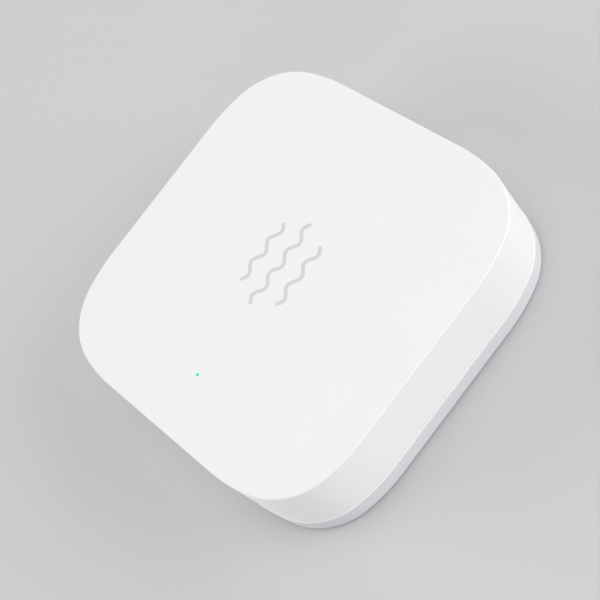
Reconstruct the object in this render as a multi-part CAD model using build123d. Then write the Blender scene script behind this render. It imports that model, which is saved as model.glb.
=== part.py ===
from build123d import *
from math import atan2, cos, degrees, hypot, radians, sin, sqrt
import os

# Vibration sensor tag: a square puck with soft corners that sticks to a door, a window or a machine.
# A white top shell holds the board, the cell tray and the side button. A grey base snaps under it.
# Frame: the tag lies on its adhesive pad, +Z out of the front face, +Y towards the top of the face.
# The origin is the middle of the pad's underside. Lengths are in millimetres, angles in degrees.

# Shell outline: a square whose corners are three arcs each, tight in the middle and easier at both ends
tag_width = 44.0
corner_radius = 8.9
shoulder_radius = 21.0
shoulder_turn = 15.0
shell_height = 10.95
edge_ease = 0.12
foot_ease = 0.2
seam_ease = 0.12

# Top shell
cover_wall = 1.5
cover_roof = 1.5
head_room = 2.85
rib_width = 0.8
roof_rib_depth = 0.45
edge_rib_proud = 0.25
edge_rib_width = 1.2
edge_rib_spacing = 20.0

# Base
base_band = 2.4
base_floor = 1.5
tongue_thickness = 0.9
tongue_height_share = 0.55
tongue_clearance = 0.35
hook_width = 6.0
hook_slit = 0.7
hook_gap = 0.3
barb_height = 1.0
barb_gap = 0.03
groove_depth = 0.35
groove_margin = 0.25
pry_width = 8.0
pry_height = 0.9
pry_depth = 1.2
floor_rib_height = 0.9
floor_rib_width = 0.8

# Adhesive pad in its pocket under the base
pad_inset = 5.0
pad_fit = 0.15
pad_pocket = 0.5
pad_proud = 0.25

# Coin cell, as thick as the room between the base's ribs and the contact under the board: 3.2
cell_radius = 10.0
can_wall = 0.25
can_edge = 0.3
cap_inset = 1.15
cap_proud = 0.25
cap_edge = 0.2
gasket_width = 0.35
cell_fit = 0.02
cell_rib_height = 0.3
cell_ring_inset = 2.5

# Cell tray, a ring with four ears under the board
tray_clearance = 0.2
tray_wall = 1.0
tray_floor_gap = 0.45
lip_thickness = 0.35
lip_clearance = 0.25
ear_thickness = 0.8
ear_width = 4.2
contact_window = 4.4
nail_notch_width = 7.0
nail_notch_height = 1.6

# Screws that hold the tray and the board to the top shell
screw_inset = 8.0
screw_shank_radius = 0.55
screw_hole_radius = 0.7
screw_bite = 2.2
screw_head_radius = 1.2
screw_head_height = 0.8
screw_slot_width = 0.3
screw_slot_depth = 0.35
boss_radius = 1.8
pilot_gap = 0.03

# Circuit board
contact_space = 0.6
board_thickness = 1.0
board_gap = 0.35
copper_thickness = 0.05

# Light guide over the status lamp
lamp_inset = 7.2
guide_tip_radius = 0.18
guide_tip_length = 0.6
guide_radius = 1.0
guide_fit = 0.02
guide_lamp_gap = 0.3
collar_wall = 0.7
lamp_length = 1.6
lamp_width = 0.8
lamp_height = 0.6
lamp_base_height = 0.25

# Reset button in the left wall
button_width = 5.0
button_height = 2.0
button_sink = 0.3
button_fit = 0.1
button_travel = 0.25
button_ease = 0.15
flange_margin = 0.35
flange_thickness = 0.6
flange_gap = 0.05
stem_width = 2.0
stem_height = 1.0
flange_board_gap = 0.4

# Side push switch behind it
switch_setback = 3.0
switch_width = 4.7
switch_depth = 2.2
switch_height = 1.9
switch_sheet = 0.12
plunger_width = 2.4
plunger_height = 0.9
plunger_reach = 0.9
plunger_root = 0.5
plunger_fit = 0.08
plunger_end_gap = 0.2
stem_gap = 0.03
lug_width = 0.8
lug_length = 0.7

# Cell contacts, stamped from sheet
plus_sheet = 0.2
plus_width = 3.0
plus_touch_gap = 0.04
plus_foot = 2.2
plus_bow = 0.5
plus_stand = 0.75
minus_sheet = 0.15
minus_width = 3.2
minus_foot = 3.0
minus_foot_inset = 1.35
minus_toe = 1.0
minus_touch_gap = 0.05
minus_slot = 0.8

# Chips and small parts on the board
part_gap = 0.6
radio_side = 6.0
radio_height = 0.85
radio_pad_width = 0.25
radio_pad_length = 0.5
radio_pad_proud = 0.12
radio_pad_height = 0.2
radio_pad_pitch = 0.5
radio_pad_count = 10
motion_length = 5.0
motion_width = 3.0
motion_height = 1.0
memory_length = 4.9
memory_width = 3.9
memory_height = 1.4
memory_standoff = 0.1
memory_lead_span = 6.0
memory_lead_width = 0.4
memory_lead_pitch = 1.27
memory_lead_sheet = 0.2
memory_lead_foot = 0.6
memory_lead_count = 4
chip_edge = 0.1
chip_mark_radius = 0.25
chip_mark_depth = 0.06
crystal_length = 3.2
crystal_width = 2.5
crystal_height = 0.75
crystal_lid_height = 0.25
crystal_lid_margin = 0.2
clock_crystal_width = 1.5
small_length = 1.0
small_width = 0.5
small_height = 0.45
small_end = 0.25
small_end_proud = 0.03
coil_length = 1.6
coil_width = 0.8
coil_height = 0.8
test_pad_side = 1.1
test_pad_pitch = 2.0
test_pad_count = 5
aerial_width = 0.5
aerial_pitch = 1.3
aerial_depth = 3.2
aerial_margin = 0.9
aerial_bar_count = 10
side_capacitor_count = 4
lower_capacitor_count = 4
resistor_row_count = 3
coil_count = 3

# Places on the board, as shares of half its width
radio_place_share = (0.32, 0.30)
motion_place_share = (0.0, -0.16)
memory_place_share = (-0.34, 0.30)
test_pad_place_share = (0.0, -0.48)

# Tools' overrun, so that cuts break clean through
overrun = 1.0

# Heights, from the pad's underside up
base_low = pad_proud
base_high = base_low + base_band
floor_top = base_low + base_floor
tag_top = base_low + shell_height
roof_underside = tag_top - cover_roof
board_high = roof_underside - head_room
board_low = board_high - board_thickness
cell_low = floor_top + cell_rib_height
cell_high = board_low - contact_space
can_high = cell_high - cap_proud
tray_low = floor_top + tray_floor_gap
hook_high = board_low - hook_gap
tongue_high = base_high + tongue_height_share * (hook_high - base_high)
button_level = board_high + switch_height / 2

# Places in plan
half_width = tag_width / 2
cap_radius = cell_radius - cap_inset
cell_ring_radius = cell_radius - cell_ring_inset
board_half = half_width - cover_wall - board_gap
tray_bore = cell_radius + tray_clearance
tray_outer = tray_bore + tray_wall
tongue_inset = cover_wall + tongue_clearance
screw_place = half_width - screw_inset
lamp_place = (0, lamp_inset - half_width)
switch_front = cover_wall + switch_setback - half_width
plunger_tip = switch_front - plunger_reach
flange_front = cover_wall + flange_gap - half_width
flange_back = flange_front + flange_thickness
plunger_stop = switch_front + plunger_root + button_travel + plunger_end_gap
switch_top = board_high + switch_height
gasket_radius = cap_radius + gasket_width
minus_foot_end = cap_radius - minus_foot_inset
radio_place = tuple(share * board_half for share in radio_place_share)
memory_place = tuple(share * board_half for share in memory_place_share)

UP = (Align.CENTER, Align.CENTER, Align.MIN)
QUARTER_TURNS = (0, 90, 180, 270)


def corner_arcs(inset):
    """The three arcs of the corner between +X and +Y, moved in by inset, and the side's ends after it."""
    turn = radians(shoulder_turn)
    swing = shoulder_radius - corner_radius
    straight = half_width - shoulder_radius + swing * (cos(turn) - sin(turn))
    shoulder = Vector(half_width - shoulder_radius, straight)
    middle = shoulder + Vector(cos(turn), sin(turn)) * swing

    def on_shoulder(angle):
        return shoulder + Vector(cos(angle), sin(angle)) * (shoulder_radius - inset)

    def swapped(point):
        return Vector(point.Y, point.X)

    first, eased, joined = on_shoulder(0), on_shoulder(turn / 2), on_shoulder(turn)
    tip = middle + Vector(sqrt(1 / 2), sqrt(1 / 2)) * (corner_radius - inset)
    arcs = [
        ThreePointArc(first, eased, joined),
        ThreePointArc(joined, tip, swapped(joined)),
        ThreePointArc(swapped(joined), swapped(eased), swapped(first)),
    ]
    return arcs, swapped(first), Vector(-straight, half_width - inset)


def outline(inset):
    """The tag's outline, moved in by inset, as a face at zero height."""
    arcs, side_start, side_end = corner_arcs(inset)
    corner = arcs + [Line(side_start, side_end)]
    edges = [edge.rotate(Axis.Z, angle) for angle in QUARTER_TURNS for edge in corner]
    return make_face(edges)


def slab(inset, low, high):
    """A solid of the tag's outline between two heights."""
    return extrude(Pos(0, 0, low) * outline(inset), amount=high - low)


def span(width, middle=0):
    """The two ends of a width that is centred on a value."""
    return (middle - width / 2, middle + width / 2)


def block(x_ends, y_ends, z_ends):
    """A box between two values on each axis."""
    sizes = [high - low for low, high in (x_ends, y_ends, z_ends)]
    middle = [(low + high) / 2 for low, high in (x_ends, y_ends, z_ends)]
    return Pos(*middle) * Box(*sizes)


def rod(radius, place, low, high):
    """An upright cylinder."""
    return Pos(place[0], place[1], low) * Cylinder(radius, high - low, align=UP)


def on_board(share):
    """A place on the board from its shares of half the board's width."""
    return (share[0] * board_half, share[1] * board_half)


def standing(length, width, height, place, low=board_high):
    """A box of a chip's size that stands at a place on the board."""
    return Pos(place[0], place[1], low) * Box(length, width, height, align=UP)


def spread(count, pitch):
    """Places along a line, evenly spaced about zero."""
    return [(index - (count - 1) / 2) * pitch for index in range(count)]


def four_ways(make):
    """What make() builds on the +X side, copied to all four sides."""
    return [Rot(0, 0, angle) * make() for angle in QUARTER_TURNS]


def screw_places():
    return [(x * screw_place, y * screw_place) for x in (-1, 1) for y in (-1, 1)]


def wall_slot(width, height, low, high):
    """A lozenge with round ends, width along Y and height along Z, between two values of X."""
    face = Plane.YZ * SlotOverall(width, height)
    return Pos(low, 0, button_level) * extrude(face, amount=high - low)


def strip(points, sheet, width):
    """Sheet bent along points in the XZ plane, centred on Y. The sheet lies on the left of the way."""
    offset = []
    for index, point in enumerate(points):
        before = points[max(index - 1, 0)]
        after = points[min(index + 1, len(points) - 1)]
        ways = []
        for start, end in ((before, point), (point, after)):
            run = hypot(end[0] - start[0], end[1] - start[1])
            if run > 0:
                ways.append(((start[1] - end[1]) / run, (end[0] - start[0]) / run))
        normal = (sum(way[0] for way in ways), sum(way[1] for way in ways))
        scale = sheet * len(ways) / (normal[0] ** 2 + normal[1] ** 2)
        offset.append((point[0] + normal[0] * scale, point[1] + normal[1] * scale))
    loop = list(points) + offset[::-1]
    face = make_face(Polyline(*[(x, 0, z) for x, z in loop], close=True))
    return extrude(face, amount=width / 2, both=True)


def top_cover():
    """The white shell: roof, wall, screw bosses, light guide collar, ribs and grooves for the hooks."""
    shell = slab(0, base_high, tag_top)
    shell = chamfer(shell.edges().group_by(Axis.Z)[-1], edge_ease)
    shell -= slab(cover_wall, base_high - overrun, roof_underside)
    shell += [rod(boss_radius, place, board_high, roof_underside) for place in screw_places()]
    collar_low = board_high + lamp_height + guide_lamp_gap
    collar_radius = guide_radius + guide_fit + collar_wall
    shell += rod(collar_radius, lamp_place, collar_low, roof_underside)

    rib_low = roof_underside - roof_rib_depth
    for side in (-1, 1):
        across = span(rib_width, side * screw_place)
        reach = span(2 * screw_place)
        shell += block(reach, across, (rib_low, roof_underside))
        shell += block(across, reach, (rib_low, roof_underside))

    inner_half = half_width - cover_wall
    for side in (-1, 1):
        across = span(edge_rib_width, side * edge_rib_spacing / 2)
        depth = (inner_half - edge_rib_proud, inner_half)
        shell += four_ways(lambda: block(depth, across, (board_low, roof_underside)))

    groove_z = (hook_high - barb_height - groove_margin, hook_high + groove_margin)
    groove_y = span(hook_width + 2 * groove_margin)
    groove_x = (inner_half - groove_margin, inner_half + groove_depth)
    shell -= four_ways(lambda: block(groove_x, groove_y, groove_z))

    pilot = screw_shank_radius + pilot_gap
    pilot_top = board_high + screw_bite + pilot_gap
    shell -= [rod(pilot, place, board_low, pilot_top) for place in screw_places()]
    tip_low = tag_top - guide_tip_length
    shell -= rod(guide_radius + guide_fit, lamp_place, collar_low - overrun, tip_low)
    shell -= rod(guide_tip_radius + guide_fit, lamp_place, tip_low, tag_top + overrun)
    hole_width = button_width + 2 * button_fit
    hole_height = button_height + 2 * button_fit
    shell -= wall_slot(hole_width, hole_height, -half_width - overrun, overrun - inner_half)
    return shell


def snap_hook():
    """One springy tab on the +X side of the base, with a barb near its top."""
    outer = half_width - tongue_inset
    tab = block((outer - tongue_thickness, outer), span(hook_width), (floor_top, hook_high))
    reach = tongue_clearance - barb_gap
    barb = make_face(Polyline(
        (outer, 0, hook_high - barb_height),
        (outer + reach, 0, hook_high - barb_height / 2),
        (outer, 0, hook_high),
        close=True,
    ))
    return tab + extrude(barb, amount=hook_width / 2, both=True)


def hook_clearance():
    """The slits that free a hook from the tongue at both sides, down to the seam."""
    outer = half_width - tongue_inset
    depth = (outer - tongue_thickness - overrun, outer + overrun)
    heights = (base_high, tongue_high + overrun)
    return block(depth, span(hook_width + 2 * hook_slit), heights)


def base_cover():
    """The grey base: floor, band, tongue with snap hooks, ribs under the cell, pad pocket and pry notch."""
    base = slab(0, base_low, base_high)
    base = chamfer(base.edges().group_by(Axis.Z)[0], foot_ease)
    base = chamfer(base.edges().group_by(Axis.Z)[-1], seam_ease)
    tongue_inner = tongue_inset + tongue_thickness
    base += slab(tongue_inset, base_high, tongue_high)
    base -= slab(tongue_inner, floor_top, tongue_high + overrun)
    base -= four_ways(hook_clearance)
    base += four_ways(snap_hook)

    middle = (0, 0)
    ring = rod(cell_ring_radius, middle, floor_top, cell_low)
    base += ring - rod(cell_ring_radius - floor_rib_width, middle, floor_top, cell_low)
    for angle in (0, 90):
        bar = block(span(2 * cell_ring_radius), span(floor_rib_width), (floor_top, cell_low))
        base += Rot(0, 0, angle) * bar

    rib_start = tray_outer + tray_clearance
    rib_end = half_width - tongue_inner + floor_rib_width
    rib_heights = (floor_top, floor_top + floor_rib_height)
    for side in (-1, 1):
        across = span(floor_rib_width, side * (hook_width / 2 + hook_slit))
        base += four_ways(lambda: block((rib_start, rib_end), across, rib_heights))

    base -= slab(pad_inset - pad_fit, base_low - overrun, base_low + pad_pocket)
    pry_y = (half_width - pry_depth, half_width + overrun)
    pry_z = (base_high - pry_height, base_high + overrun)
    return base - block(span(pry_width), pry_y, pry_z)


def adhesive_pad():
    """Foam tape that fills the pocket and stands proud of the base."""
    return slab(pad_inset, 0, base_low + pad_pocket)


def circuit_board():
    """The board, with its screw holes and a notch behind the button's flange."""
    board = slab(cover_wall + board_gap, board_low, board_high)
    through = (board_low - overrun, board_high + overrun)
    board -= [rod(screw_hole_radius, place, *through) for place in screw_places()]
    notch_width = button_width + 2 * flange_margin + 2 * flange_board_gap
    notch_end = flange_back + button_travel + flange_board_gap
    return board - block((-half_width, notch_end), span(notch_width), through)


def cell_tray():
    """A ring round the coin cell, with a thin lip under the board and four ears for the screws."""
    middle = (0, 0)
    ear_low = board_low - ear_thickness
    tray = rod(tray_outer, middle, tray_low, board_low)
    for place in screw_places():
        arm = block((0, hypot(*place)), span(ear_width), (ear_low, board_low))
        tray += Rot(0, 0, degrees(atan2(place[1], place[0]))) * arm
        tray += rod(ear_width / 2, place, ear_low, board_low)
    lip_low = board_low - lip_thickness
    tray -= rod(tray_bore, middle, tray_low - overrun, lip_low)
    tray -= rod(cap_radius + lip_clearance, middle, lip_low - overrun, board_low + overrun)
    for place in screw_places():
        tray -= rod(screw_hole_radius, place, ear_low - overrun, board_low + overrun)
    window_x = (tray_bore - overrun, tray_outer + overrun)
    tray -= block(window_x, span(contact_window), (tray_low - overrun, board_low + overrun))
    nail_y = (-tray_outer - overrun, overrun - tray_bore)
    nail_z = (tray_low - overrun, tray_low + nail_notch_height)
    return tray - block(span(nail_notch_width), nail_y, nail_z)


def tray_screws():
    """Self-tapping screws with a crossed slot in the head, driven up through the tray and the board."""
    head_high = board_low - ear_thickness
    head_low = head_high - screw_head_height
    slot_reach = span(2 * (screw_head_radius - screw_slot_width))
    slot_z = (head_low - overrun, head_low + screw_slot_depth)
    screws = []
    for place in screw_places():
        screw = rod(screw_head_radius, (0, 0), head_low, head_high)
        screw += rod(screw_shank_radius, (0, 0), head_high, board_high + screw_bite)
        screw -= block(slot_reach, span(screw_slot_width), slot_z)
        screw -= block(span(screw_slot_width), slot_reach, slot_z)
        screws.append(Pos(*place) * screw)
    return Compound(children=screws)


def light_guide():
    """A clear stepped rod that carries the lamp's light to a pinhole in the face."""
    step = tag_top - guide_tip_length - guide_fit
    guide = rod(guide_radius, lamp_place, board_high + lamp_height + guide_lamp_gap, step)
    return guide + rod(guide_tip_radius, lamp_place, step, tag_top)


def status_lamp():
    """A light-emitting chip on a pale base with a rounded lens."""
    lens_height = lamp_height - lamp_base_height
    lens_length = lamp_length - 2 * lamp_base_height
    lens = standing(lens_length, lamp_width, lens_height, lamp_place, board_high + lamp_base_height)
    lens = fillet(lens.edges().group_by(Axis.Z)[-1], lens_height / 3)
    return lens + standing(lamp_length, lamp_width, lamp_base_height, lamp_place)


def reset_button():
    """The side button: a lozenge cap, a flange that stops it behind the wall, and a stem to the switch."""
    cap_front = button_sink - half_width
    cap = wall_slot(button_width, button_height, cap_front, flange_back)
    cap = chamfer(cap.edges().group_by(Axis.X)[0], button_ease)
    margin = 2 * flange_margin
    cap += wall_slot(button_width + margin, button_height + margin, flange_front, flange_back)
    stem_x = (flange_back, plunger_tip - stem_gap)
    return cap + block(stem_x, span(stem_width), span(stem_height, button_level))


def switch_plunger():
    plunger_x = (plunger_tip, switch_front + plunger_root)
    return block(plunger_x, span(plunger_width), span(plunger_height, button_level))


def plunger_room(low, high):
    """The space that the plunger slides in, between two values of X."""
    room_y = span(plunger_width + 2 * plunger_fit)
    return block((low, high), room_y, span(plunger_height + 2 * plunger_fit, button_level))


def switch_body():
    """The moulded body of the push switch, open in front for the plunger."""
    body_x = (switch_front, switch_front + switch_depth)
    body = block(body_x, span(switch_width), (board_high, switch_top))
    return body - plunger_room(switch_front - overrun, plunger_stop)


def switch_shell():
    """The sheet metal frame over the switch, with two soldering lugs at each side."""
    shell_x = (switch_front - switch_sheet, switch_front + switch_depth)
    shell_width = switch_width + 2 * switch_sheet
    shell = block(shell_x, span(shell_width), (board_high, switch_top + switch_sheet))
    inside_x = (switch_front, switch_front + switch_depth + overrun)
    shell -= block(inside_x, span(switch_width), (board_high - overrun, switch_top))
    shell -= plunger_room(switch_front - switch_sheet - overrun, switch_front)
    for side in (-1, 1):
        for end in (switch_front, switch_front + switch_depth - lug_width):
            lug = block((end, end + lug_width), (0, lug_length), (board_high, board_high + switch_sheet))
            lug = Pos(0, shell_width / 2) * lug
            shell += lug if side > 0 else mirror(lug, Plane.XZ)
    return shell


def plus_contact():
    """The spring leaf that is soldered under the board and bears on the rim of the cell."""
    stand = cell_radius + plus_stand
    touch_z = cell_low + (cell_high - cell_low) / 3
    leaf = strip(
        [
            (stand + plus_foot, board_low),
            (stand, board_low),
            (cell_radius + plus_touch_gap, touch_z),
            (cell_radius + plus_bow, cell_low),
        ],
        plus_sheet,
        plus_width,
    )
    return leaf


def minus_contact():
    """The forked spring leaf under the board that bears on the cell's cap."""
    touch_z = cell_high + minus_touch_gap + minus_sheet
    leaf = strip(
        [
            (minus_foot_end, board_low),
            (minus_foot_end - minus_foot, board_low),
            (0, touch_z),
            (-minus_toe, touch_z + minus_touch_gap + minus_sheet),
        ],
        minus_sheet,
        minus_width,
    )
    fork_x = (-minus_toe - overrun, minus_foot_end - minus_foot - minus_slot)
    return leaf - block(fork_x, span(minus_slot), (cell_high, board_low + overrun))


def cell_can():
    """The cell's can: a rounded cup whose rim is turned in over the gasket."""
    middle = (0, 0)
    can = rod(cell_radius, middle, cell_low, can_high)
    can = chamfer(can.edges().group_by(Axis.Z)[0], can_edge)
    can = chamfer(can.edges().group_by(Axis.Z)[-1], can_edge / 2)
    can -= rod(cell_radius - can_wall, middle, cell_low + can_wall, can_high - can_wall)
    return can - rod(gasket_radius + cell_fit, middle, cell_low + can_wall, can_high + overrun)


def cell_gasket():
    """The ring that seals the can against the cap."""
    middle = (0, 0)
    low = cell_low + can_wall + cell_fit
    ring = rod(cell_radius - can_wall - cell_fit, middle, low, can_high - can_wall - cell_fit)
    ring += rod(gasket_radius, middle, low, can_high)
    return ring - rod(cap_radius + cell_fit, middle, low - overrun, can_high + overrun)


def cell_cap():
    """The cell's other pole: a flat inverted cup."""
    low = cell_low + can_wall + cell_fit
    cap = rod(cap_radius, (0, 0), low, cell_high)
    cap = chamfer(cap.edges().group_by(Axis.Z)[-1], cap_edge)
    return cap - rod(cap_radius - can_wall, (0, 0), low - overrun, cell_high - can_wall)


def cell_filling():
    """The pressed powder and the metal disc inside the cell."""
    low = cell_low + can_wall + cell_fit
    return rod(cap_radius - can_wall - cell_fit, (0, 0), low, cell_high - can_wall - cell_fit)


def marked_chip(length, width, height, place, low=board_high):
    """A moulded chip with eased upper edges and a round dimple at its first corner."""
    chip = standing(length, width, height, place, low)
    chip = chamfer(chip.edges().group_by(Axis.Z)[-1], chip_edge)
    mark_in = chip_edge + 2 * chip_mark_radius
    mark = (place[0] - length / 2 + mark_in, place[1] + width / 2 - mark_in)
    top = low + height
    return chip - rod(chip_mark_radius, mark, top - chip_mark_depth, top + overrun)


def radio_chip():
    """The radio controller, a flat square package with pads along all four sides."""
    chip = marked_chip(radio_side, radio_side, radio_height, (0, 0))
    pad_x = (radio_side / 2 - radio_pad_length, radio_side / 2 + radio_pad_proud)
    pad_z = (board_high, board_high + radio_pad_height)
    for shift in spread(radio_pad_count, radio_pad_pitch):
        chip += four_ways(lambda: block(pad_x, span(radio_pad_width, shift), pad_z))
    return Pos(*radio_place) * chip


def motion_chip():
    """The sensor that feels the vibration."""
    return marked_chip(motion_length, motion_width, motion_height, on_board(motion_place_share))


def memory_chip():
    """The memory chip, with bent leads along both long sides."""
    low = board_high + memory_standoff
    chip = marked_chip(memory_width, memory_length, memory_height, (0, 0), low)
    lead_z = low + memory_height / 2
    foot_z = board_high + memory_lead_sheet
    lead = strip(
        [
            (memory_lead_span / 2, foot_z),
            (memory_lead_span / 2 - memory_lead_foot, foot_z),
            (memory_width / 2 + memory_lead_sheet, lead_z),
            (memory_width / 2 - memory_lead_sheet, lead_z),
        ],
        memory_lead_sheet,
        memory_lead_width,
    )
    for shift in spread(memory_lead_count, memory_lead_pitch):
        placed = Pos(0, shift) * lead
        chip += placed
        chip += Rot(0, 0, 180) * placed
    return Pos(*memory_place) * chip


def crystal(width, place):
    """A ceramic tub with a metal lid."""
    tub_height = crystal_height - crystal_lid_height
    tub = standing(crystal_length, width, tub_height, place)
    margin = 2 * crystal_lid_margin
    lid_low = board_high + tub_height
    return tub + standing(crystal_length - margin, width - margin, crystal_lid_height, place, lid_low)


def radio_crystal():
    above = radio_side / 2 + radio_pad_proud + part_gap + crystal_width / 2
    return crystal(crystal_width, (radio_place[0], radio_place[1] + above))


def clock_crystal():
    above = memory_length / 2 + 2 * part_gap + small_width + clock_crystal_width / 2
    return crystal(clock_crystal_width, (memory_place[0], memory_place[1] + above))


def small_parts(size, places):
    """A group of chip components of one size."""
    return Compound(children=[small_part(*size, place) for place in places])


def small_part(length, width, height, place):
    """A chip component with a soldered cap at each end."""
    proud = 2 * small_end_proud
    part = standing(length - small_end, width - proud, height - small_end_proud, place)
    for side in (-1, 1):
        end = (place[0] + side * (length - small_end) / 2, place[1])
        part += standing(small_end, width, height, end)
    return part


def chip_capacitors():
    """The capacitors round the radio chip: a column at each side and a row below."""
    x, y = radio_place
    aside = radio_side / 2 + radio_pad_proud + part_gap + small_length / 2
    below = radio_side / 2 + radio_pad_proud + part_gap + small_width / 2
    places = []
    for shift in spread(side_capacitor_count, small_width + part_gap):
        places += [(x - aside, y + shift), (x + aside, y + shift)]
    for shift in spread(lower_capacitor_count, small_length + part_gap):
        places.append((x + shift, y - below))
    return small_parts((small_length, small_width, small_height), places)


def chip_resistors():
    """The resistors above and below the memory chip, and at both sides of the status lamp."""
    x, y = memory_place
    away = memory_length / 2 + part_gap + small_width / 2
    places = []
    for shift in spread(resistor_row_count, small_length + part_gap):
        places += [(x + shift, y - away), (x + shift, y + away)]
    beside_lamp = lamp_length / 2 + part_gap + small_length / 2
    places += [(side * beside_lamp, lamp_place[1]) for side in (-1, 1)]
    return small_parts((small_length, small_width, small_height), places)


def chip_coils():
    """The coils that match the radio to its aerial, outside the capacitors."""
    x, y = radio_place
    aside = radio_side / 2 + radio_pad_proud + 2 * part_gap + small_length + coil_length / 2
    places = [(x + aside, y + shift) for shift in spread(coil_count, coil_width + part_gap)]
    return small_parts((coil_length, coil_width, coil_height), places)


def aerial_trace():
    """The printed aerial: a copper line that runs to and fro along the board's upper edge."""
    high = board_half - aerial_margin
    low = high - aerial_depth
    heights = (board_high, board_high + copper_thickness)
    places = spread(aerial_bar_count, aerial_pitch)
    trace = block(span(aerial_width, places[0]), (low, high), heights)
    for index, x in enumerate(places[1:]):
        trace += block(span(aerial_width, x), (low, high), heights)
        link_y = (high - aerial_width, high) if index % 2 else (low, low + aerial_width)
        trace += block((x - aerial_pitch, x), link_y, heights)
    return trace


def test_pads():
    """A row of square copper pads for the factory's probes."""
    x, y = on_board(test_pad_place_share)
    places = [(x + shift, y) for shift in spread(test_pad_count, test_pad_pitch)]
    size = (test_pad_side, test_pad_side, copper_thickness)
    return Compound(children=[standing(*size, place) for place in places])


PIECES = (
    adhesive_pad, base_cover, top_cover, light_guide, circuit_board, cell_tray, tray_screws,
    plus_contact, minus_contact, cell_can, cell_gasket, cell_cap, cell_filling,
    reset_button, switch_plunger, switch_body, switch_shell, status_lamp,
    radio_chip, motion_chip, memory_chip, radio_crystal, clock_crystal,
    chip_capacitors, chip_resistors, chip_coils, aerial_trace, test_pads,
)


def main():
    os.makedirs("parts", exist_ok=True)
    for piece in PIECES:
        export_step(piece(), f"parts/{piece.__name__}.step")


main()
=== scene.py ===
import math

import bmesh
import bpy
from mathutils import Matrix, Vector

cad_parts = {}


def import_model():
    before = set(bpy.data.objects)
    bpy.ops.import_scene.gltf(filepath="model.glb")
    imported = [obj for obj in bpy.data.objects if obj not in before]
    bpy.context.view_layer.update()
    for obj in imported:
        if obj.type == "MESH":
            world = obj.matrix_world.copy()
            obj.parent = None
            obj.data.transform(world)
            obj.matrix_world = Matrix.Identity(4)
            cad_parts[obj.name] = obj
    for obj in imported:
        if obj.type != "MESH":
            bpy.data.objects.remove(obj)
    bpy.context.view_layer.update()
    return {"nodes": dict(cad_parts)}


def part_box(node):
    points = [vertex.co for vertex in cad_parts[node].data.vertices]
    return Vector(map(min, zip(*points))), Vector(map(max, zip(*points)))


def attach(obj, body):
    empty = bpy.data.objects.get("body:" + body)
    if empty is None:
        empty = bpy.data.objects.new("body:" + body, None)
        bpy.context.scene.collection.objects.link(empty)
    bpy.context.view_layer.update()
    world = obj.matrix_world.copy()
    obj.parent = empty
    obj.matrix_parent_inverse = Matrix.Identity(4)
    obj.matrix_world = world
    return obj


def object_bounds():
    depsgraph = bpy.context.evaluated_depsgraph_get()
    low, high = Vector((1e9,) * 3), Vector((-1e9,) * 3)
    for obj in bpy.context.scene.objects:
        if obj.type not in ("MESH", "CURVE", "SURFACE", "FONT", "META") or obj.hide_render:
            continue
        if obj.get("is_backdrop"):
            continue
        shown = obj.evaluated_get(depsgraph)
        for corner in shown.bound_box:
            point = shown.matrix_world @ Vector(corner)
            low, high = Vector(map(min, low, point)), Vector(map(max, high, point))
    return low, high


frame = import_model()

# Lengths are in metres, written as millimetres times MM
MM = 0.001

# Camera, at the photograph's viewing angle
CAMERA_PLACE = Vector((92.13, -10.83, 125.77)) * MM
CAMERA_AIM = Vector((0.86, -1.10, 5.73)) * MM
CAMERA_ROLL = math.radians(-47.75)
FIELD_OF_VIEW = math.radians(25.49)
CAMERA_CLIP = (5 * MM, 20000 * MM)

# Studio light: an even sky, which the camera, gloss and glass see at another strength, and soft lamps
# given by azimuth and elevation in degrees and power in watts
SKY = 0.5
SKY_SEEN = 0.6
LAMPS = (
    (45, 20, 1.98),
    (90, 20, 0.66),
    (0, 20, 0.106),
    (-60, 20, 0.50),
    (-135, 20, 1.75),
    (0, 88, 0.58),
)
LAMP_DISTANCE = 600 * MM
LAMP_SIZE = 450 * MM
# Lamps lower than this light the tag but don't shine in its gloss, which would burn out its flat face
GLOSS_ELEVATION = 45

# Floor, which fades into the sky between two distances from the tag
FLOOR_HALF_SIDE = 3000 * MM
FLOOR_SEGMENTS = 8
FLOOR_GAP = 0.02 * MM
FAR_RANGE = (80 * MM, 400 * MM)

# Colours, linear
WHITE = (0.865, 0.865, 0.868)
GREY = (0.695, 0.695, 0.725)
BLACK = (0.022, 0.022, 0.024)
PRINT = (0.655, 0.655, 0.66)
FLOOR_COLOR = (0.60, 0.605, 0.61)

# The status light: the guide's colour and glow, and the halo round its pinhole
LAMP_COLOR = (0.088, 0.466, 0.37)
GUIDE_GLOW = 0.35
HALO_COLOR = (0.62, 1.0, 0.93)
HALO_RANGE = (0.16 * MM, 0.42 * MM)
HALO_GLOW = 0.12

# Sizes of the patches, grains and cells in the materials
PLASTIC_PATCHES = 9 * MM
METAL_PATCHES = 2.5 * MM
STEEL_PATCHES = 3 * MM
FOAM_PATCHES = 7 * MM
PAPER_PATCHES = 60 * MM
GUIDE_GRAIN = 0.2 * MM
FOAM_CELL = 0.28 * MM

# How far roughness wavers either way, between two levels of a grain's noise
GLOSS_SPREAD = 0.05
GRAIN_RANGE = (0.3, 0.7)

# Depths of the bumps that metal, turned steel and foam show
METAL_DEPTH = 0.001 * MM
RING_DEPTH = 0.0006 * MM
FOAM_DEPTH = 0.05 * MM

# Edges sharper than this, in degrees, stay sharp
EDGE_ANGLE = 30
SOLDER_EDGE_ANGLE = 50

# Printed motif on the face
WAVE_SPACING = 3.1 * MM
WAVE_LENGTH = 3.1 * MM
WAVE_SWING = 0.45 * MM
WAVE_STROKE = 0.47 * MM
WAVE_COUNTS = (2.5, 3.5, 2.5)
WAVE_PLACE = Vector((-0.25, 0.55)) * MM
WAVE_STEPS = 24
PRINT_THICKNESS = 0.012 * MM

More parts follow.
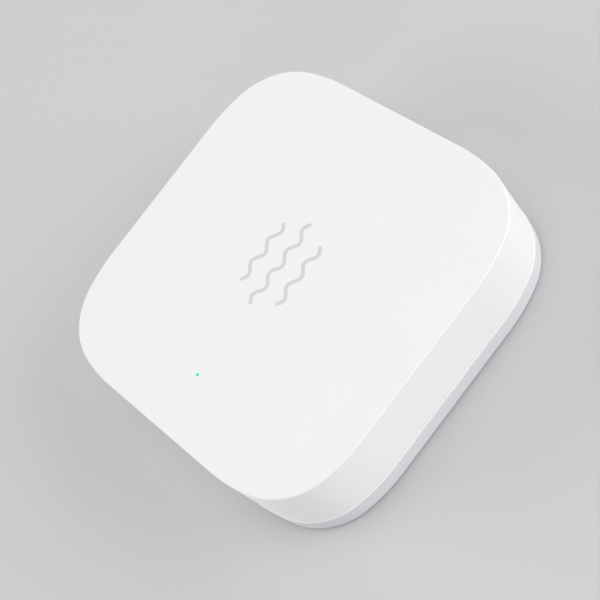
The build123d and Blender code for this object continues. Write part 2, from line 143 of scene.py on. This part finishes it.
# The fine lip that catches the light along the shell's lower edge: the corners of its section, in
# millimetres out of the wall and up, and the depths below the face between which the wall's outline is read
LIP_SECTION = ((-0.03, 0.11), (0.0, 0.11), (0.055, 0.045), (0.055, 0.0), (-0.03, 0.0))
OUTLINE_DEPTHS = (0.5 * MM, 0.01 * MM)

# Copper tracks under the solder mask
TRACK_WIDTH = 0.2 * MM
TRACK_PITCH = 0.6 * MM
TRACK_HEIGHT = 0.015 * MM

# Vias at the tracks' ends and in a row along the board's edges, apart from the edge's middle at the switch
VIA_RADIUS = 0.24 * MM
VIA_HOLE = 0.11 * MM
VIA_HEIGHT = 0.03 * MM
VIA_INSET = 0.8 * MM
VIA_SPACING = 2.6 * MM
VIA_REACH = 12 * MM
SWITCH_REACH = 3.9 * MM

# Lines printed on the board: frames round its chips, and arcs that reach so far either way between the
# cell tray's ears
LEGEND_WIDTH = 0.14 * MM
LEGEND_HEIGHT = 0.02 * MM
LEGEND_GAP = 0.3 * MM
LEGEND_RADIUS = 12.1 * MM
LEGEND_REACH = math.radians(31)
FRAMED_CHIPS = ("radio_chip", "motion_chip", "memory_chip", "radio_crystal", "clock_crystal")

# Solder at the feet of the cell's contacts: its top is smaller by a share, and its plan a rounded square
SOLDER_MARGIN = 0.4 * MM
SOLDER_HEIGHT = 0.16 * MM
SOLDER_TAPER = 0.28
SOLDER_ROUNDNESS = 0.4
PLUS_FOOT = 2.2 * MM
MINUS_FOOT = 3.0 * MM

# Bundles of tracks on the two sides of the board: how many, and the middle one's route in millimetres
LOWER_TRACKS = (
    (3, ((13.6, 2.6), (15.8, 4.8), (15.8, 9.4), (17.6, 11.2))),
    (4, ((-13.0, -6.6), (-15.6, -4.0), (-15.6, 5.4), (-17.4, 7.2))),
    (4, ((-6.8, -13.2), (-4.6, -15.4), (5.2, -15.4), (7.2, -17.4))),
    (2, ((-6.4, 12.6), (-5.0, 14.0), (4.6, 14.0), (6.0, 12.6))),
    (3, ((-6.4, -4.6), (-3.6, -1.8), (-3.6, 4.2), (-5.6, 6.2))),
    (3, ((1.2, -7.6), (1.2, -4.4), (3.4, -2.6))),
)
UPPER_TRACKS = (
    (3, ((-3.0, 6.6), (1.4, 6.6))),
    (3, ((3.7, -2.9), (6.2, -0.4), (6.2, 1.5))),
    (2, ((-14.4, -1.2), (-12.2, -1.2), (-9.6, 1.4), (-9.6, 2.4))),
    (3, ((-2.0, -8.6), (-2.0, -5.5))),
    (2, ((0.4, -13.9), (0.4, -10.8))),
)

# Places in the frame
nodes = frame["nodes"]
face_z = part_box("top_cover")[1].z
lamp_low, lamp_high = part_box("status_lamp")
pinhole = ((lamp_low.x + lamp_high.x) / 2, (lamp_low.y + lamp_high.y) / 2, face_z)
board_low, board_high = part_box("circuit_board")


def shade(color, factor):
    """A colour made lighter or darker by a factor."""
    return tuple(min(1.0, channel * factor) for channel in color)


class Tree:
    """The node tree of a new material, with short ways to add nodes and links."""

    def __init__(self, name, color, roughness, metallic=0.0):
        self.material = bpy.data.materials.new(name)
        self.material.use_nodes = True
        self.nodes = self.material.node_tree.nodes
        self.links = self.material.node_tree.links
        self.shader = self.nodes["Principled BSDF"]
        self.shader.inputs["Base Color"].default_value = (*color, 1)
        self.shader.inputs["Roughness"].default_value = roughness
        self.shader.inputs["Metallic"].default_value = metallic
        self.material.diffuse_color = (*color, 1)

    def add(self, kind, **values):
        """A new node, with its properties set."""
        node = self.nodes.new(kind)
        for name, value in values.items():
            setattr(node, name, value)
        return node

    def link(self, source, target):
        self.links.new(source, target)

    def place(self):
        """The point on the object, in metres in the shared frame at rest."""
        return self.add("ShaderNodeTexCoord").outputs["Object"]

    def noise(self, size, detail=3.0):
        """Noise whose blotches are about size metres across."""
        node = self.add("ShaderNodeTexNoise")
        node.inputs["Scale"].default_value = 1 / size
        node.inputs["Detail"].default_value = detail
        self.link(self.place(), node.inputs["Vector"])
        return node.outputs["Fac"]

    def ramp(self, value, low, high, start=0.0, end=1.0):
        """Value mapped from start..end to low..high."""
        node = self.add("ShaderNodeMapRange")
        node.inputs["From Min"].default_value = start
        node.inputs["From Max"].default_value = end
        node.inputs["To Min"].default_value = low
        node.inputs["To Max"].default_value = high
        self.link(value, node.inputs["Value"])
        return node.outputs["Result"]

    def mix(self, factor, first, second):
        """A colour between two, each a colour or a socket."""
        node = self.add("ShaderNodeMix", data_type="RGBA")
        self.link(factor, node.inputs[0])
        # A Mix node has sockets of each type: its colours are inputs 6 and 7, and output 2
        for index, value in ((6, first), (7, second)):
            if isinstance(value, tuple):
                node.inputs[index].default_value = (*value, 1)
            else:
                self.link(value, node.inputs[index])
        return node.outputs[2]

    def shades(self, factor, color, darker, lighter):
        """A colour made darker and lighter by factors, where a socket is low and high."""
        return self.mix(factor, shade(color, darker), shade(color, lighter))

    def paint(self, socket):
        """Gives the shader its base colour."""
        self.link(socket, self.shader.inputs["Base Color"])

    def waver(self, grains, roughness, spread=GLOSS_SPREAD):
        """Gives the shader a roughness that wavers with a grain."""
        gloss = self.ramp(grains, roughness - spread, roughness + spread, *GRAIN_RANGE)
        self.link(gloss, self.shader.inputs["Roughness"])

    def bump(self, height, distance):
        """Gives the shader a bump of that depth in metres."""
        node = self.add("ShaderNodeBump")
        node.inputs["Distance"].default_value = distance
        node.inputs["Strength"].default_value = 1.0
        self.link(height, node.inputs["Height"])
        self.link(node.outputs["Normal"], self.shader.inputs["Normal"])


def moulded(name, color, roughness, grain=0.12 * MM, depth=0.002 * MM, spread=0.012):
    """Moulded plastic: a fine spark-eroded grain, and a faint drift of shade and gloss."""
    tree = Tree(name, color, roughness)
    tree.paint(tree.shades(tree.noise(PLASTIC_PATCHES), color, 1 - spread, 1 + spread))
    grains = tree.noise(grain)
    tree.waver(grains, roughness)
    tree.bump(grains, depth)
    return tree


def metal(name, color, roughness, grain=0.15 * MM, scratches=0.08):
    """Plated or rolled metal with a fine grain and patchy gloss."""
    tree = Tree(name, color, roughness, 1.0)
    tree.paint(tree.shades(tree.noise(METAL_PATCHES), color, 0.94, 1.03))
    grains = tree.noise(grain, 4.0)
    tree.waver(grains, roughness, scratches)
    tree.bump(grains, METAL_DEPTH)
    return tree


def turned(name, color, roughness, grain=0.05 * MM):
    """Pressed steel with fine rings round the Z axis, as a coin cell has."""
    tree = Tree(name, color, roughness, 1.0)
    place = tree.place()
    flat = tree.add("ShaderNodeVectorMath", operation="MULTIPLY")
    flat.inputs[1].default_value = (1.0, 1.0, 0.0)
    tree.link(place, flat.inputs[0])
    around = tree.add("ShaderNodeVectorMath", operation="LENGTH")
    tree.link(flat.outputs["Vector"], around.inputs[0])
    parts = tree.add("ShaderNodeSeparateXYZ")
    tree.link(place, parts.inputs["Vector"])
    # Radius plus height, so that the rings run on down the rim
    along = tree.add("ShaderNodeMath", operation="ADD")
    tree.link(around.outputs["Value"], along.inputs[0])
    tree.link(parts.outputs["Z"], along.inputs[1])
    rings = tree.add("ShaderNodeTexNoise", noise_dimensions="1D")
    rings.inputs["Scale"].default_value = 1 / grain
    rings.inputs["Detail"].default_value = 3.0
    tree.link(along.outputs["Value"], rings.inputs["W"])
    tree.paint(tree.shades(tree.noise(STEEL_PATCHES), color, 0.95, 1.03))
    tree.waver(rings.outputs["Fac"], roughness)
    tree.bump(rings.outputs["Fac"], RING_DEPTH)
    return tree


def foam(name, color, roughness):
    """Closed-cell foam: small round cells that show as dimples, darker at their rims."""
    tree = Tree(name, color, roughness)
    cells = tree.add("ShaderNodeTexVoronoi", feature="F1")
    cells.inputs["Scale"].default_value = 1 / FOAM_CELL
    tree.link(tree.place(), cells.inputs["Vector"])
    body = tree.shades(tree.noise(FOAM_PATCHES), color, 0.94, 1.06)
    rims = tree.ramp(cells.outputs["Distance"], 0.0, 1.0, 0.15, 0.75)
    tree.paint(tree.mix(rims, body, shade(color, 0.8)))
    tree.bump(tree.ramp(cells.outputs["Distance"], 0.0, 1.0, 0.1, 0.8), FOAM_DEPTH)
    return tree


def white_shell(name):
    """The shell's white plastic, tinted by the lamp's light right round the pinhole."""
    tree = moulded(name, WHITE, 0.42)
    plain = tree.shader.inputs["Base Color"].links[0].from_socket
    away = tree.add("ShaderNodeVectorMath", operation="DISTANCE")
    tree.link(tree.place(), away.inputs[0])
    away.inputs[1].default_value = pinhole
    near = tree.ramp(away.outputs["Value"], 1.0, 0.0, *HALO_RANGE)
    tree.paint(tree.mix(near, plain, HALO_COLOR))
    tree.link(tree.mix(near, (0.0, 0.0, 0.0), HALO_COLOR), tree.shader.inputs["Emission Color"])
    tree.shader.inputs["Emission Strength"].default_value = HALO_GLOW
    return tree


def lit_guide(name):
    """The clear light guide, lit cyan by the lamp under it."""
    tree = Tree(name, LAMP_COLOR, 0.25)
    grains = tree.noise(GUIDE_GRAIN, 2.0)
    tree.paint(tree.shades(grains, LAMP_COLOR, 0.95, 1.05))
    tree.link(tree.shades(grains, LAMP_COLOR, 0.97, 1.03), tree.shader.inputs["Emission Color"])
    tree.shader.inputs["Emission Strength"].default_value = GUIDE_GLOW
    return tree


materials = {
    "top_cover": white_shell("white_shell"),
    "base_cover": moulded("grey_base", GREY, 0.5, grain=0.16 * MM, depth=0.003 * MM, spread=0.02),
    "adhesive_pad": foam("foam_pad", (0.48, 0.49, 0.51), 0.8),
    "light_guide": lit_guide("light_guide"),
    "circuit_board": moulded("solder_mask", (0.012, 0.09, 0.045), 0.32, grain=0.4 * MM, spread=0.1),
    "cell_tray": moulded("black_nylon", BLACK, 0.5, spread=0.1),
    "tray_screws": metal("screw_steel", (0.55, 0.54, 0.52), 0.32),
    "plus_contact": metal("contact_gold", (0.80, 0.62, 0.33), 0.3, scratches=0.04),
    "cell_can": turned("cell_steel", (0.66, 0.66, 0.65), 0.28),
    "cell_gasket": moulded("gasket", (0.06, 0.06, 0.06), 0.45, spread=0.1),
    "cell_filling": moulded("powder", (0.03, 0.03, 0.03), 0.9, spread=0.1),
    "reset_button": moulded("button_white", (0.80, 0.80, 0.805), 0.42),
    "switch_body": moulded("switch_black", (0.03, 0.03, 0.03), 0.5, spread=0.1),
    "switch_plunger": moulded("plunger_brown", (0.16, 0.11, 0.08), 0.5, spread=0.1),
    "status_lamp": moulded("lamp_clear", (0.80, 0.86, 0.80), 0.2),
    "radio_chip": moulded("chip_epoxy", BLACK, 0.55, grain=0.08 * MM, depth=0.004 * MM, spread=0.1),
    "radio_crystal": metal("lid_metal", (0.70, 0.68, 0.62), 0.35),
    "chip_capacitors": moulded("ceramic_tan", (0.36, 0.24, 0.15), 0.45, spread=0.08),
    "aerial_trace": metal("copper_gold", (0.80, 0.56, 0.28), 0.35),
}
# Nodes that have the material of another
shared = {
    "minus_contact": "plus_contact",
    "cell_cap": "cell_can",
    "switch_shell": "tray_screws",
    "motion_chip": "radio_chip",
    "memory_chip": "radio_chip",
    "clock_crystal": "radio_crystal",
    "chip_resistors": "radio_chip",
    "chip_coils": "chip_capacitors",
    "test_pads": "aerial_trace",
}
# Materials of the scene's own pieces
ink = moulded("print_ink", PRINT, 0.5, grain=0.1 * MM)
mask = moulded("mask_over_copper", (0.022, 0.15, 0.072), 0.32, grain=0.4 * MM, spread=0.06)
legend = moulded("legend_ink", (0.72, 0.73, 0.71), 0.6, grain=0.1 * MM)
solder = metal("solder_tin", (0.62, 0.62, 0.63), 0.3, scratches=0.05)


def smooth(piece, angle=EDGE_ANGLE):
    """Shades a piece smooth, but for edges sharper than the angle in degrees."""
    piece.data.shade_smooth()
    piece.data.set_sharp_from_angle(angle=math.radians(angle))


def new_piece(name, mesh_data, tree, body):
    """Adds a piece with that mesh and material, which rides on a body."""
    piece = bpy.data.objects.new(name, mesh_data)
    bpy.context.scene.collection.objects.link(piece)
    piece.data.materials.append(tree.material)
    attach(piece, body)
    return piece


def beside(points, shift):
    """A route moved to the left of its way, with mitred corners."""
    moved = []
    for index, point in enumerate(points):
        before = points[max(index - 1, 0)]
        after = points[min(index + 1, len(points) - 1)]
        runs = ((before, point), (point, after))
        ways = [(end - start).normalized() for start, end in runs if start != end]
        normal = sum((Vector((-way.y, way.x)) for way in ways), Vector((0, 0)))
        moved.append(point + normal * (shift * len(ways) / normal.length_squared))
    return moved


def ribbon(mesh, points, half_width, low, high, end_steps=6):
    """Adds a flat closed ribbon with round ends to a bmesh, along points in the XY plane."""
    sides = list(zip(beside(points, half_width), beside(points, -half_width)))
    for end, inner in ((0, 1), (-1, -2)):
        ahead = (points[end] - points[inner]).normalized() * half_width
        aside = (sides[end][0] - sides[end][1]) / 2
        cap = []
        for step in range(1, end_steps + 1):
            angle = math.pi / 2 * step / (end_steps + 1)
            tip, reach = points[end] + ahead * math.sin(angle), aside * math.cos(angle)
            cap.append((tip + reach, tip - reach))
        sides = cap[::-1] + sides if end == 0 else sides + cap
    rings = []
    for left, right in sides:
        corners = ((left, low), (right, low), (right, high), (left, high))
        rings.append([mesh.verts.new((place.x, place.y, height)) for place, height in corners])
    for ring, after in zip(rings, rings[1:]):
        for index in range(len(ring)):
            other = (index + 1) % len(ring)
            mesh.faces.new((ring[index], ring[other], after[other], after[index]))
    mesh.faces.new(rings[0][::-1])
    mesh.faces.new(rings[-1])


def join_loops(mesh, loops):
    """Adds the faces between closed loops of vertices to a bmesh, from each loop to the next and round."""
    for index, loop in enumerate(loops):
        other = loops[(index + 1) % len(loops)]
        for step in range(len(loop)):
            after = (step + 1) % len(loop)
            mesh.faces.new((loop[step], loop[after], other[after], other[step]))


def band(mesh, outer, inner, low, high):
    """Adds a flat closed band to a bmesh, between two loops of points in the XY plane."""
    loops = []
    for points, height in ((outer, low), (outer, high), (inner, high), (inner, low)):
        loops.append([mesh.verts.new((point.x, point.y, height)) for point in points])
    join_loops(mesh, loops)


def finished_mesh(mesh, name):
    """Turns a bmesh into mesh data, with its faces outward and its many-sided faces cut to triangles."""
    bmesh.ops.triangulate(mesh, faces=[face for face in mesh.faces if len(face.verts) > 4])
    bmesh.ops.recalc_face_normals(mesh, faces=mesh.faces)
    data = bpy.data.meshes.new(name)
    mesh.to_mesh(data)
    mesh.free()
    return data


def printed_waves():
    """Three upright waves printed on the face, the middle one longer, as a plain sign for vibration."""
    mesh = bmesh.new()
    for column, count in enumerate(WAVE_COUNTS):
        centre = WAVE_PLACE + Vector(((column - 1) * WAVE_SPACING, 0))
        length = count * WAVE_LENGTH
        steps = round(count * WAVE_STEPS)
        points = []
        for step in range(steps + 1):
            along = length * (step / steps - 0.5)
            swing = WAVE_SWING * math.cos(2 * math.pi * along / WAVE_LENGTH)
            points.append(centre + Vector((swing, along)))
        ribbon(mesh, points, WAVE_STROKE / 2, face_z, face_z + PRINT_THICKNESS)
    return finished_mesh(mesh, "printed_waves")


def seam_lip():
    """A fine lip round the shell's lower edge, swept along the outline of its wall."""
    seam_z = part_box("top_cover")[0].z
    low, high = (face_z - depth for depth in OUTLINE_DEPTHS)
    corners = nodes["top_cover"].data.vertices
    outline = {(corner.co.x, corner.co.y) for corner in corners if low < corner.co.z < high}
    outline = sorted((Vector(place) for place in outline), key=lambda place: math.atan2(place.y, place.x))
    mesh = bmesh.new()
    sections = []
    for index, place in enumerate(outline):
        way = (outline[(index + 1) % len(outline)] - outline[index - 1]).normalized()
        out = Vector((way.y, -way.x))
        points = [(place + out * far * MM, seam_z + up * MM) for far, up in LIP_SECTION]
        sections.append([mesh.verts.new((point.x, point.y, height)) for point, height in points])
    join_loops(mesh, sections)
    return finished_mesh(mesh, "seam_lip")


def routes(bundles):
    """The route of each track of the bundles, in metres."""
    tracks = []
    for count, points in bundles:
        middle = [Vector(point) * MM for point in points]
        tracks += [beside(middle, (index - (count - 1) / 2) * TRACK_PITCH) for index in range(count)]
    return tracks


def tracks_mesh(name, tracks, surface, way):
    """Tracks on the board's surface, which stand out of it upwards or downwards."""
    mesh = bmesh.new()
    for track in tracks:
        ribbon(mesh, track, TRACK_WIDTH / 2, surface, surface + way * TRACK_HEIGHT, end_steps=2)
    return finished_mesh(mesh, name)


def edge_vias():
    """Places of the vias that stitch the board's ground along three edges, but for where the switch is."""
    reach = board_high.x - VIA_INSET
    steps = int(VIA_REACH / VIA_SPACING)
    shifts = [step * VIA_SPACING for step in range(-steps, steps + 1)]
    places = [Vector((shift, -reach)) for shift in shifts]
    places += [Vector((reach, shift)) for shift in shifts]
    places += [Vector((-reach, shift)) for shift in shifts if abs(shift) > SWITCH_REACH]
    return places


def circle(centre, radius, steps=12):
    """Points round a circle in the XY plane."""
    angles = [2 * math.pi * step / steps for step in range(steps)]
    return [centre + Vector((math.cos(angle), math.sin(angle))) * radius for angle in angles]


def vias_mesh(name, places, surface, way):
    """A flat ring of plating round each via's hole."""
    mesh = bmesh.new()
    top = surface + way * VIA_HEIGHT
    for place in places:
        band(mesh, circle(place, VIA_RADIUS), circle(place, VIA_HOLE), surface, top)
    return finished_mesh(mesh, name)


def legend_arcs(name, surface, way, steps=16):
    """Printed arcs round the cell tray, between its ears."""
    mesh = bmesh.new()
    for quarter in range(4):
        middle = quarter * math.pi / 2
        angles = [middle + LEGEND_REACH * (2 * step / steps - 1) for step in range(steps + 1)]
        arc = [Vector((math.cos(angle), math.sin(angle))) * LEGEND_RADIUS for angle in angles]
        ribbon(mesh, arc, LEGEND_WIDTH / 2, surface, surface + way * LEGEND_HEIGHT, end_steps=2)
    return finished_mesh(mesh, name)


def legend_frames(name, surface, way):
    """A printed frame round each large chip."""
    mesh = bmesh.new()
    for chip in FRAMED_CHIPS:
        low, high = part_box(chip)
        loops = []
        for margin in (LEGEND_GAP + LEGEND_WIDTH / 2, LEGEND_GAP - LEGEND_WIDTH / 2):
            left, right, near, far = low.x - margin, high.x + margin, low.y - margin, high.y + margin
            corners = ((left, near), (right, near), (right, far), (left, far))
            loops.append([Vector(corner) for corner in corners])
        band(mesh, *loops, surface, surface + way * LEGEND_HEIGHT)
    return finished_mesh(mesh, name)


def rounded(value):
    """A sine or cosine raised to a power with its sign kept, which makes a circle a rounded square."""
    return math.copysign(abs(value) ** SOLDER_ROUNDNESS, value)


def solder_mesh(name, low, high, surface, way, levels=4, steps=24):
    """A low pillow of solder round the foot of a contact, between two corners in plan."""
    centre = (low + high) / 2
    half = (high - low) / 2 + Vector((SOLDER_MARGIN, SOLDER_MARGIN))
    mesh = bmesh.new()
    rings = []
    for level in range(levels + 1):
        swell = math.pi / 2 * level / levels
        size = 1 - SOLDER_TAPER + SOLDER_TAPER * math.cos(swell)
        height = surface + way * math.sin(swell) * SOLDER_HEIGHT
        ring = []
        for step in range(steps):
            angle = 2 * math.pi * step / steps
            x = centre.x + half.x * size * rounded(math.cos(angle))
            y = centre.y + half.y * size * rounded(math.sin(angle))
            ring.append(mesh.verts.new((x, y, height)))
        rings.append(ring)
    for ring, above in zip(rings, rings[1:]):
        for step in range(steps):
            after = (step + 1) % steps
            mesh.faces.new((ring[step], ring[after], above[after], above[step]))
    mesh.faces.new(rings[-1])
    mesh.faces.new(rings[0][::-1])
    return finished_mesh(mesh, name)


for name, node in nodes.items():
    node.data.materials.clear()
    node.data.materials.append(materials[shared.get(name, name)].material)
    smooth(node)

new_piece("printed_waves", printed_waves(), ink, "housing")
smooth(new_piece("seam_lip", seam_lip(), materials["top_cover"], "housing"))

sides = (
    ("lower", LOWER_TRACKS, board_low.z, -1, legend_arcs),
    ("upper", UPPER_TRACKS, board_high.z, 1, legend_frames),
)
for side, bundles, surface, way, print_legend in sides:
    tracks = routes(bundles)
    ends = [track[index] for track in tracks for index in (0, -1)] + edge_vias()
    data = tracks_mesh(f"tracks_{side}", tracks, surface, way)
    new_piece(f"tracks_{side}", data, mask, "housing")
    data = vias_mesh(f"vias_{side}", ends, surface, way)
    new_piece(f"vias_{side}", data, materials["aerial_trace"], "housing")
    data = print_legend(f"legend_{side}", surface, way)
    new_piece(f"legend_{side}", data, legend, "housing")

plus_low, plus_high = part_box("plus_contact")
minus_low, minus_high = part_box("minus_contact")
feet = (
    ("plus_solder", Vector((plus_high.x - PLUS_FOOT, plus_low.y)), plus_high.xy),
    ("minus_solder", Vector((minus_high.x - MINUS_FOOT, minus_low.y)), minus_high.xy),
)
for name, low, high in feet:
    data = solder_mesh(name, low, high, board_low.z, -1)
    smooth(new_piece(name, data, solder, "housing"), SOLDER_EDGE_ANGLE)


def background_rays(nodes, links):
    """1 for the rays that see the background: from the camera, off gloss and through glass."""
    rays = nodes.new("ShaderNodeLightPath")
    share = rays.outputs["Is Camera Ray"]
    for name in ("Is Glossy Ray", "Is Transmission Ray"):
        either = nodes.new("ShaderNodeMath")
        either.operation = "MAXIMUM"
        links.new(share, either.inputs[0])
        links.new(rays.outputs[name], either.inputs[1])
        share = either.outputs["Value"]
    return share


def floor():
    """A wide plain floor under the tag, which the camera sees fade into the sky far off."""
    mesh = bmesh.new()
    bmesh.ops.create_grid(mesh, x_segments=FLOOR_SEGMENTS, y_segments=FLOOR_SEGMENTS, size=FLOOR_HALF_SIDE)
    data = bpy.data.meshes.new("floor")
    mesh.to_mesh(data)
    mesh.free()
    piece = bpy.data.objects.new("floor", data)
    piece.location.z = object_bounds()[0].z - FLOOR_GAP
    bpy.context.scene.collection.objects.link(piece)
    tree = Tree("floor_paper", FLOOR_COLOR, 0.75)
    paper = tree.shades(tree.noise(PAPER_PATCHES, 2.0), FLOOR_COLOR, 0.995, 1.005)
    away = tree.add("ShaderNodeVectorMath", operation="LENGTH")
    tree.link(tree.place(), away.inputs[0])
    far = tree.ramp(away.outputs["Value"], 0.0, 1.0, *FAR_RANGE)
    far.node.interpolation_type = "SMOOTHSTEP"
    seen = tree.add("ShaderNodeMath", operation="MULTIPLY")
    tree.link(far, seen.inputs[0])
    tree.link(background_rays(tree.nodes, tree.links), seen.inputs[1])
    tree.paint(tree.mix(seen.outputs["Value"], paper, (0.0, 0.0, 0.0)))
    glow = tree.ramp(seen.outputs["Value"], 0.0, SKY_SEEN)
    tree.link(glow, tree.shader.inputs["Emission Strength"])
    tree.shader.inputs["Emission Color"].default_value = (1.0, 1.0, 1.0, 1)
    tree.shader.inputs["Specular IOR Level"].default_value = 0.0
    piece.data.materials.append(tree.material)
    piece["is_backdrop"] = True


def lamp(name, azimuth, elevation, power):
    """A soft square lamp that stands in a direction from the tag, in degrees, and shines at it."""
    data = bpy.data.lights.new(name, "AREA")
    data.shape = "SQUARE"
    data.size = LAMP_SIZE
    data.energy = power
    light = bpy.data.objects.new(name, data)
    around, up = math.radians(azimuth), math.radians(elevation)
    way = Vector((math.cos(around) * math.cos(up), math.sin(around) * math.cos(up), math.sin(up)))
    light.location = CAMERA_AIM + way * LAMP_DISTANCE
    light.rotation_euler = way.to_track_quat("Z", "Y").to_euler()
    light.visible_glossy = elevation > GLOSS_ELEVATION
    bpy.context.scene.collection.objects.link(light)


def world():
    """An even white sky, with the strength at which the camera, gloss and glass see it."""
    sky = bpy.data.worlds.new("sky")
    sky.use_nodes = True
    nodes, links = sky.node_tree.nodes, sky.node_tree.links
    background = nodes["Background"]
    background.inputs["Color"].default_value = (1.0, 1.0, 1.0, 1)
    level = nodes.new("ShaderNodeMapRange")
    level.inputs["To Min"].default_value = SKY
    level.inputs["To Max"].default_value = SKY_SEEN
    links.new(background_rays(nodes, links), level.inputs["Value"])
    links.new(level.outputs["Result"], background.inputs["Strength"])
    bpy.context.scene.world = sky


def camera():
    """The camera of the photograph: its place, its aim, its roll and its field of view."""
    data = bpy.data.cameras.new("camera")
    data.sensor_fit = "HORIZONTAL"
    data.angle = FIELD_OF_VIEW
    data.clip_start, data.clip_end = CAMERA_CLIP
    view = bpy.data.objects.new("camera", data)
    view.location = CAMERA_PLACE
    level = (CAMERA_AIM - CAMERA_PLACE).to_track_quat("-Z", "Y")
    view.rotation_euler = level.to_euler()
    view.rotation_euler.rotate_axis("Z", CAMERA_ROLL)
    bpy.context.scene.collection.objects.link(view)
    bpy.context.scene.camera = view


floor()
world()
for index, (azimuth, elevation, power) in enumerate(LAMPS):
    lamp(f"lamp_{index}", azimuth, elevation, power)
camera()

bpy.context.scene.view_settings.view_transform = "Standard"
